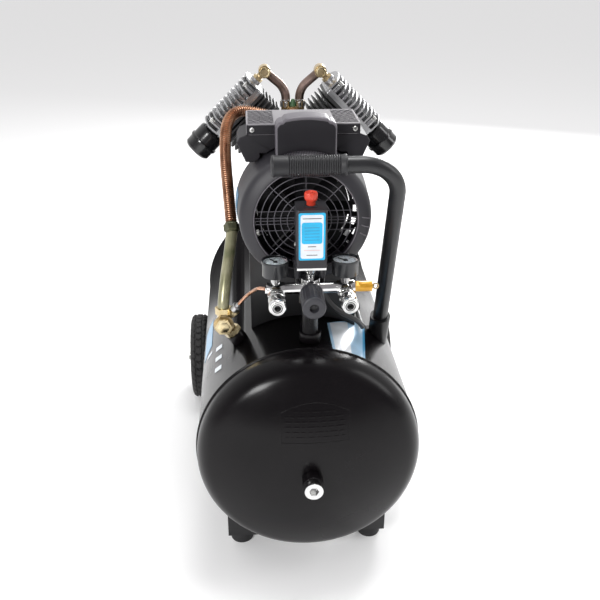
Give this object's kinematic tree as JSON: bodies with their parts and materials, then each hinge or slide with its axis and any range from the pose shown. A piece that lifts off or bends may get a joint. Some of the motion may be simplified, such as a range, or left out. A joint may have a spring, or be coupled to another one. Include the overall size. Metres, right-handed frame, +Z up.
{
  "type": "air compressor",
  "caption": "Portable direct-drive air compressor: twin V cylinders and motor on a horizontal black tank with wheels, feet, one-legged pull handle, pressure switch, gauges and couplers.",
  "frame": {"origin": "Centre of the object's footprint on the floor: z = 0 is the floor under the feet and tyres, x = 0 is the tank axis, y = 0 is the middle of the tank.", "axes": "+Z up, +Y from the handle and control end to the wheel end along the tank, +X to the right when the control end faces the viewer."},
  "size_m": [0.49, 1.1128, 0.8085],
  "materials": {
    "tank_paint": "gloss black enamel",
    "silver_plug": "zinc plated steel",
    "foot_rubber": "moulded rubber",
    "zinc_bolt": "zinc plated",
    "tyre_rubber": "moulded tread rubber",
    "hub_plastic": "moulded nylon",
    "handle_paint": "satin black powder coat",
    "grip_rubber": "ribbed soft rubber",
    "base_paint": "semi-gloss black",
    "motor_metal": "dark painted finned casting",
    "shroud_plastic": "dark grey textured plastic",
    "grille_wire": "dark coated wire",
    "box_plastic": "grey moulded plastic with fine lines",
    "cover_plastic": "black plastic, fine texture",
    "cast_black": "painted cast iron",
    "head_alu": "cast aluminium",
    "filter_plastic": "glossy black moulding",
    "brass": "machined brass, slightly dull",
    "bronze_tube": "heat darkened copper tube",
    "finned_copper": "finned copper tube",
    "olive_zinc": "yellow passivated zinc",
    "copper": "soft copper tube",
    "pipe_black": "black pipe",
    "chrome": "chromed brass",
    "gauge_black": "black gauge case",
    "gauge_glass": "clear lens",
    "switch_plastic": "dark grey housing",
    "switch_red": "red-orange knob",
    "knob_plastic": "fluted dark grey knob",
    "amber": "amber yellow cap",
    "cord_jacket": "black rubber jacket",
    "needle_red": "needle",
    "steel_inner": "machined steel",
    "piston_alu": "machined aluminium",
    "fan_plastic": "moulded fan"
  },
  "bodies": {
    "root": {"tank_shell": "tank_paint", "front_head": "tank_paint", "rear_head": "tank_paint", "tank_ports": "tank_paint", "port_plugs": "silver_plug", "tank_brackets": "base_paint", "rubber_feet": "foot_rubber", "bolts": "zinc_bolt", "wheel_axles": "zinc_bolt", "handle_tube": "handle_paint", "handle_grip": "grip_rubber", "motor_base": "base_paint", "motor_housing": "motor_metal", "fan_shroud": "shroud_plastic", "fan_grille": "grille_wire", "wind_guide": "shroud_plastic", "capacitor_box": "box_plastic", "terminal_cover": "cover_plastic", "crankcase": "cast_black", "oil_filler_cap": "cover_plastic", "cylinder_left": "cast_black", "cylinder_right": "cast_black", "head_left": "head_alu", "head_right": "head_alu", "intake_filters": "filter_plastic", "discharge_fittings": "brass", "discharge_tubes": "bronze_tube", "finned_tube": "finned_copper", "delivery_tube": "olive_zinc", "check_valve": "brass", "unloader_tube": "copper", "riser": "pipe_black", "manifold": "chrome", "gauge_cases": "gauge_black", "gauge_lenses": "gauge_glass", "switch_base": "switch_plastic", "switch_cover": "switch_plastic", "coupler_bodies": "chrome", "safety_valve": "amber", "drain_valve": "brass", "motor_lead": "cord_jacket", "mains_cord": "cord_jacket", "cord_coil": "cord_jacket", "plug": "cover_plastic"},
    "wheel_left": {"wheel_hub_left": "hub_plastic", "tyre_left": "tyre_rubber"},
    "wheel_right": {"wheel_hub_right": "hub_plastic", "tyre_right": "tyre_rubber"},
    "crank": {"crankshaft": "steel_inner", "cooling_fan": "fan_plastic"},
    "piston_left": {"piston_left": "piston_alu"},
    "piston_right": {"piston_right": "piston_alu"},
    "switch_knob": {"switch_knob": "switch_red"},
    "regulator_knob": {"regulator_knob": "knob_plastic"},
    "coupler_sleeve_left": {"coupler_sleeve_left": "chrome"},
    "coupler_sleeve_right": {"coupler_sleeve_right": "chrome"},
    "gauge_needle_left": {"gauge_needle_left": "needle_red"},
    "gauge_needle_right": {"gauge_needle_right": "needle_red"},
    "safety_ring": {"safety_ring": "steel_inner"},
    "drain_knob": {"drain_knob": "brass"}
  },
  "joints": [
    {"name": "wheel_left_spin", "type": "hinge", "parent": "root", "child": "wheel_left", "pos_m": [-0.215, 0.228, 0.1], "axis": [1, 0, 0], "continuous": true},
    {"name": "wheel_right_spin", "type": "hinge", "parent": "root", "child": "wheel_right", "pos_m": [0.215, 0.228, 0.1], "axis": [1, 0, 0], "continuous": true},
    {"name": "crank_spin", "type": "hinge", "parent": "root", "child": "crank", "pos_m": [0, 0.075, 0.623], "axis": [0, 1, 0], "continuous": true},
    {"name": "piston_left_slide", "type": "slide", "parent": "root", "child": "piston_left", "axis": [-0.7071, 0, 0.7071], "range_m": [-0.02, 0.02]},
    {"name": "piston_right_slide", "type": "slide", "parent": "root", "child": "piston_right", "axis": [0.7071, 0, 0.7071], "range_m": [-0.02, 0.02]},
    {"name": "switch_knob_push", "type": "slide", "parent": "root", "child": "switch_knob", "axis": [0, 0, 1], "range_m": [-0.005, 0]},
    {"name": "regulator_knob_turn", "type": "hinge", "parent": "root", "child": "regulator_knob", "pos_m": [0.005, -0.36, 0.519], "axis": [0, 1, 0], "range_deg": [-720, 720]},
    {"name": "coupler_left_slide", "type": "slide", "parent": "root", "child": "coupler_sleeve_left", "axis": [0, 1, 0], "range_m": [0, 0.005], "stiffness_N_per_m": 600, "springref_m": -0.002},
    {"name": "coupler_right_slide", "type": "slide", "parent": "root", "child": "coupler_sleeve_right", "axis": [0, 1, 0], "range_m": [0, 0.005], "stiffness_N_per_m": 600, "springref_m": -0.002},
    {"name": "gauge_left_turn", "type": "hinge", "parent": "root", "child": "gauge_needle_left", "pos_m": [-0.051, -0.313, 0.564], "axis": [0, 0, 1], "range_deg": [-270, 0], "stiffness_Nm_per_rad": 0.001},
    {"name": "gauge_right_turn", "type": "hinge", "parent": "root", "child": "gauge_needle_right", "pos_m": [0.061, -0.313, 0.564], "axis": [0, 0, 1], "range_deg": [-270, 0], "stiffness_Nm_per_rad": 0.001},
    {"name": "safety_ring_pull", "type": "slide", "parent": "root", "child": "safety_ring", "axis": [1, 0, 0], "range_m": [0, 0.004], "stiffness_N_per_m": 500, "springref_m": -0.001},
    {"name": "drain_knob_turn", "type": "hinge", "parent": "root", "child": "drain_knob", "pos_m": [0, 0, 0.02], "axis": [0, 0, 1], "range_deg": [0, 360]}
  ]
}
